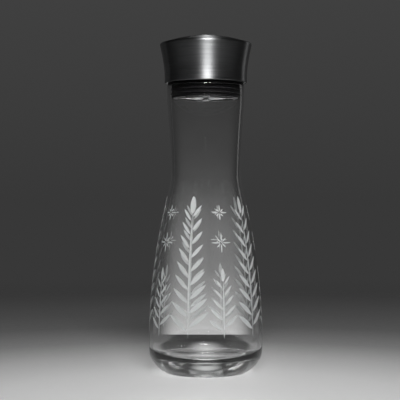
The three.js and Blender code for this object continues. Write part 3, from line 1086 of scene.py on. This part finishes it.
@dataclass
class LiftWorks:
    """The ball lift and its guide, whose solids are right as they are and only need their finishes."""

    parts: tuple[tuple[Finish, tuple[str, ...]], ...] = (
        (POLYPROPYLENE, ("stopper_body", "guide_spider")),
        (ACETAL, ("ball_race", "guide_bush", "lift_cone")),
        (POLISHED_STEEL, ("lid_nut", "lift_stem", "tilt_ball")),
        (SILICONE, ("funnel_gasket",)),
    )

    def dress(self, nodes: dict[str, Object]) -> None:
        """Give each solid its finish.

        Args:
            nodes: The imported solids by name.
        """
        for finish, names in self.parts:
            for name in names:
                coat(nodes[name], finish)
                LOG.info("%s: %s", name, finish.name)


# The studio


@dataclass(frozen=True)
class FloorZone:
    """A soft-edged oval on the floor, in millimetres, in which the light has another level."""

    centre: Point
    squeeze: Point
    inner: float
    outer: float
    inside: float
    outside: float = 1.0

    def share(self, tree: NodeTree, place: NodeSocket) -> Node:
        """Build the nodes that say how far out in the zone a place lies.

        Args:
            tree: The floor's nodes.
            place: The place on the floor.

        Returns:
            The node that gives the share: 0 inside, 1 outside.
        """
        middle = (self.centre[0] * MM, self.centre[1] * MM, 0)
        offset = add(tree, "VectorMath", {0: place, 1: middle}, operation="SUBTRACT")
        oval = add(tree, "VectorMath", {0: offset, 1: (*self.squeeze, 0)}, operation="MULTIPLY")
        away = add(tree, "VectorMath", {0: oval}, operation="LENGTH")
        reach = {"Value": away, "From Min": self.inner * MM, "From Max": self.outer * MM}
        return add(tree, "MapRange", reach)

    def level(self, tree: NodeTree, place: NodeSocket) -> Node:
        """Build the nodes that give the level at a place, and return the last."""
        ends = {"Value": self.share(tree, place), "To Min": self.inside, "To Max": self.outside}
        return add(tree, "MapRange", ends, interpolation_type="SMOOTHSTEP")


@dataclass(frozen=True)
class StudioFloor(Finish):
    """Pale painted table top that falls away into the dark of the studio.

    Its colour darkens with distance as painted falloff of light. Painted shade lies far in front, behind the
    carafe and under its foot; behind the foot a painted line of light glows where the glass gathers the lamp.
    """

    name: str = "pale_table_top"
    centre: Point = (0.0, -150.0)
    # painted falloff of light: the floor's colour at each distance, in millimetres, from the centre
    stops: tuple[tuple[float, str], ...] = (
        *((0.0, "dadada"), (80.0, "cecece"), (166.0, "c9c9c9"), (258.0, "b6b6b6")),
        *((366.0, "8f8f8f"), (511.0, "737373"), (660.0, "6e6e6e"), (1000.0, "6a6a6a")),
    )
    # painted shade far in front, a painted shadow behind the carafe and painted contact shade under its foot
    painted_shades: tuple[FloorZone, ...] = (
        FloorZone((0.0, -1000.0), (0.0, 1.0), 620.0, 850.0, 0.06),
        FloorZone((0.0, 150.0), (1.0, 0.3), 46.0, 57.0, 0.2),
        FloorZone((0.0, 0.0), (1.0, 1.0), 30.0, 36.0, 0.15),
    )
    # painted light: the floor glows here, in place of the caustic that the glass would cast
    painted_caustic: FloorZone = FloorZone((0.0, 55.0), (1.0, 0.2), 0.0, 22.0, 0.55, 0.0)
    edge: FloorZone = FloorZone((0.0, -150.0), (1.0, 1.0), 700.0, 1400.0, 0.0)
    speck: float = 1 / 0.12  # unevenness of the paint
    detail: float = 4.0
    gloss: float = 0.2
    smooth: float = 0.55
    coarse: float = 0.75

    def nodes(self, tree: NodeTree) -> Node:
        """Build the nodes.

        Args:
            tree: The finish's nodes.

        Returns:
            The shader.
        """
        reach = self.stops[-1][0]
        place = add(tree, "TexCoord").outputs["Object"]
        # painted falloff of light: the colour darkens with distance from the centre
        share = FloorZone(self.centre, (1.0, 1.0), 0.0, reach, 0.0).share(tree, place)
        stops = [(distance / reach, linear(colour)) for distance, colour in self.stops]
        tone = add(tree, "ValToRGB", {0: share}, stops)
        # each zone's painted shade darkens the floor's colour
        for zone in self.painted_shades:
            tone = add(tree, "VectorMath", {0: tone, "Scale": zone.level(tree, place)}, operation="SCALE")
        grain = {"Vector": place, "Scale": 1 / (self.speck * MM), "Detail": self.detail}
        ends = {"Value": add(tree, "TexNoise", grain), "To Min": self.smooth, "To Max": self.coarse}
        sockets = {
            "Base Color": tone,
            "Roughness": add(tree, "MapRange", ends),
            "Specular IOR Level": self.gloss,
            # painted light: the floor glows in the caustic's zone
            "Emission Strength": self.painted_caustic.level(tree, place),
        }
        paint = add(tree, "BsdfPrincipled", sockets)
        gone = add(tree, "BsdfTransparent")
        return add(tree, "MixShader", {0: self.edge.level(tree, place), 1: paint, 2: gone})


class Seen(Enum):
    """How a lamp shows."""

    LIGHTS_ALL = "lights everything"
    MIRRORED = "only mirrored in gloss"
    THROUGH_GLASS = "only seen through glass"


FULL_BEAM = 180.0  # degrees


@dataclass(frozen=True)
class Lamp:
    """A soft box, given in metres and watts, or a card whose glow is given over its height."""

    name: str
    place: Spot
    aim: Spot
    size: Point
    watts: float = 0.0
    seen: Seen = Seen.LIGHTS_ALL
    glow: tuple[Point, ...] = ()
    spread: float = FULL_BEAM
    fade: Point = (0.5, 0.24)  # where, out from the middle of its width, a card is dark and where full

    def shade(self, light: Light) -> None:
        """Let a card's glow change over its height and fade at its sides.

        Args:
            light: The lamp's data.
        """
        light.use_nodes = True
        tree = light.node_tree
        tree.nodes.clear()
        spot = add(tree, "NewGeometry").outputs["Parametric"]
        part = add(tree, "SeparateXYZ", {0: spot}).outputs
        stops = [(height, (level, level, level, 1.0)) for height, level in self.glow]
        tone = add(tree, "ValToRGB", {0: part["Y"]}, stops)
        half = math.radians(self.spread / 2)
        # A narrower beam is brighter.
        gain = 1.0 if self.spread == FULL_BEAM else 1 / (1 - half / math.tan(half))
        aside = add(tree, "Math", {0: part["X"], 1: 0.5}, operation="SUBTRACT")
        aside = add(tree, "Math", {0: aside}, operation="ABSOLUTE")
        ends = {"Value": aside, "From Min": self.fade[0], "From Max": self.fade[1], "To Max": math.pi / gain}
        sides = add(tree, "MapRange", ends, interpolation_type="SMOOTHSTEP")
        add(tree, "OutputLight", {"Surface": add(tree, "Emission", {"Color": tone, "Strength": sides})})

    def build(self) -> None:
        """Hang the lamp and aim it."""
        choose()
        bpy.ops.object.light_add(type="AREA", location=self.place)
        lamp = bpy.context.active_object
        lamp.name = lamp.data.name = self.name
        lamp.data.shape = "RECTANGLE"
        lamp.data.size, lamp.data.size_y = self.size
        lamp.data.energy = self.size[0] * self.size[1] if self.glow else self.watts
        lamp.data.spread = math.radians(self.spread)
        aim = [a - b for a, b in zip(self.aim, self.place)]
        flat = math.hypot(aim[0], aim[1])
        lamp.rotation_euler = (math.atan2(flat, -aim[2]), 0, math.atan2(-aim[0], aim[1]))
        lamp.visible_camera = False
        lamp.visible_diffuse = self.seen is Seen.LIGHTS_ALL
        lamp.visible_glossy = self.seen is not Seen.THROUGH_GLASS
        lamp.visible_transmission = self.seen is not Seen.MIRRORED
        if self.glow:
            self.shade(lamp.data)


# Stands close behind the glass and lifts its inside, most of all at the foot.
GLOW_CARD = Lamp(
    "glow_card",
    (0.0, 0.06, 0.1325),
    (0.0, -1.0, 0.1325),
    (0.106, 0.215),
    seen=Seen.THROUGH_GLASS,
    glow=(
        *((0.0, 0.7), (0.07, 0.54), (0.15, 0.38), (0.28, 0.22)),
        *((0.43, 0.16), (0.6, 0.07), (0.8, 0.03), (1.0, 0.012)),
    ),
    spread=80.0,
)
# The key lamp once more, a little wider, for what shows through glass only.
KEY_FLANK = Lamp(
    "key_flank",
    (0.0, -0.86, 0.93),
    (0, 0, 0.15),
    (0.4, 0.36),
    seen=Seen.THROUGH_GLASS,
    glow=((0.0, 40.0), (1.0, 40.0)),
)
# Only the heavy base bends the view up to this one.
HEEL_CARD = Lamp(
    "heel_card",
    (0.0, 1.0, 0.5),
    (0.0, 0.0, 0.01),
    (0.75, 0.5),
    seen=Seen.THROUGH_GLASS,
    glow=(
        *((0.08, 2.2), (0.17, 1.5), (0.23, 0.3), (0.31, 0.5)),
        *((0.4, 1.8), (0.46, 4.0), (0.55, 6.0), (1.0, 6.0)),
    ),
    spread=30.0,
)


@dataclass
class Studio:
    """Pale table, dark backdrop, soft boxes and the camera."""

    table_radius: float = 1.6
    table_facets: int = 96
    table_drop: float = 0.05 * MM  # the table lies this far under the foot
    camera: Spot = (-0.005, -1.005, 0.1486)
    lens: float = 104.4
    horizon: str = "383838"
    upper: str = "404040"
    upper_rise: float = 0.17  # rise of the view, over its length, at which the wall has its upper tone
    backdrop: Point = (0.45, 0.9)  # how far a view runs back where the wall starts and where it is full
    dark: str = "101010"
    ambient: str = "4a4a4a"
    lamps: tuple[Lamp, ...] = (
        Lamp("key", (0.07, -0.85, 0.92), (0, 0, 0.15), (0.36, 0.36), 15.5),
        Lamp("right_panel", (0.64, 0.5, 0.3), (0, 0, 0.27), (0.13, 0.5), 0.1, Seen.MIRRORED),
        Lamp("left_panel", (-0.66, 0.46, 0.3), (0, 0, 0.27), (0.06, 0.5), 0.009, Seen.MIRRORED),
        *(GLOW_CARD, KEY_FLANK, HEEL_CARD),
        Lamp("plate_card", (0, 0.3, 0.21), (0, 0, 0.2364), (0.03, 0.03), 0.0014, Seen.MIRRORED, spread=10),
        Lamp("back_strip", (0.0, 0.9, 0.75), (0, 0, 0.29), (0.12, 0.12), 0.07, Seen.MIRRORED),
    )

    def build_table(self) -> None:
        """Lay the table top and dress it in its finish."""
        choose()
        facets, radius = self.table_facets, self.table_radius
        bpy.ops.mesh.primitive_circle_add(vertices=facets, radius=radius, fill_type="NGON")
        table = bpy.context.active_object
        table.name = table.data.name = "table_top"
        with editing():
            bpy.ops.transform.translate(value=(0, 0, -self.table_drop))
        coat(table, StudioFloor())

    def build_world(self) -> None:
        """Paint the backdrop behind the carafe and the dark room round it."""
        world = bpy.data.worlds.new("studio_room")
        bpy.context.scene.world = world
        world.use_nodes = True
        tree = world.node_tree
        tree.nodes.clear()
        way = add(tree, "TexCoord").outputs["Generated"]
        part = add(tree, "SeparateXYZ", {0: way}).outputs
        rise = add(tree, "MapRange", {"Value": part["Z"], "From Max": self.upper_rise})
        tones = {0: rise, 6: linear(self.horizon), 7: linear(self.upper)}
        wall = add(tree, "Mix", tones, data_type="RGBA")
        ends = {"Value": part["Y"], "From Min": self.backdrop[0], "From Max": self.backdrop[1]}
        behind = add(tree, "MapRange", ends, interpolation_type="SMOOTHSTEP")
        room = add(tree, "Mix", {0: behind, 6: linear(self.dark), 7: wall}, data_type="RGBA")
        path = add(tree, "LightPath").outputs
        seen = path["Is Camera Ray"]
        for ray in ("Is Glossy Ray", "Is Transmission Ray"):
            seen = add(tree, "Math", {0: seen, 1: path[ray]}, operation="MAXIMUM")
        light = add(tree, "Mix", {0: seen, 6: linear(self.ambient), 7: room}, data_type="RGBA")
        add(tree, "OutputWorld", {"Surface": add(tree, "Background", {"Color": light})})

    def build_camera(self) -> None:
        """Stand the camera level in front of the carafe."""
        choose()
        bpy.ops.object.camera_add(location=self.camera, rotation=(math.pi / 2, 0, 0))
        camera = bpy.context.active_object
        camera.data.lens = self.lens
        bpy.context.scene.camera = camera

    def build(self) -> None:
        """Set the whole studio up."""
        self.build_camera()
        self.build_table()
        self.build_world()
        for lamp in self.lamps:
            lamp.build()
        bpy.context.scene.view_settings.view_transform = "Standard"
        LOG.info("studio with %d lamps", len(self.lamps))


def main() -> None:
    """Load the frame and build the carafe and its studio, piece by piece."""
    logging.basicConfig(level=logging.INFO, format="%(name)s: %(message)s")
    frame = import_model()
    Studio().build()
    glass = GlassVessel().build()
    CutPattern().build(glass)
    SteelCollar().build()
    StopperPlug().build()
    PourFunnel().build()
    DomedLid().build()
    LiftWorks().dress(frame["nodes"])


if __name__ == "__main__":
    main()
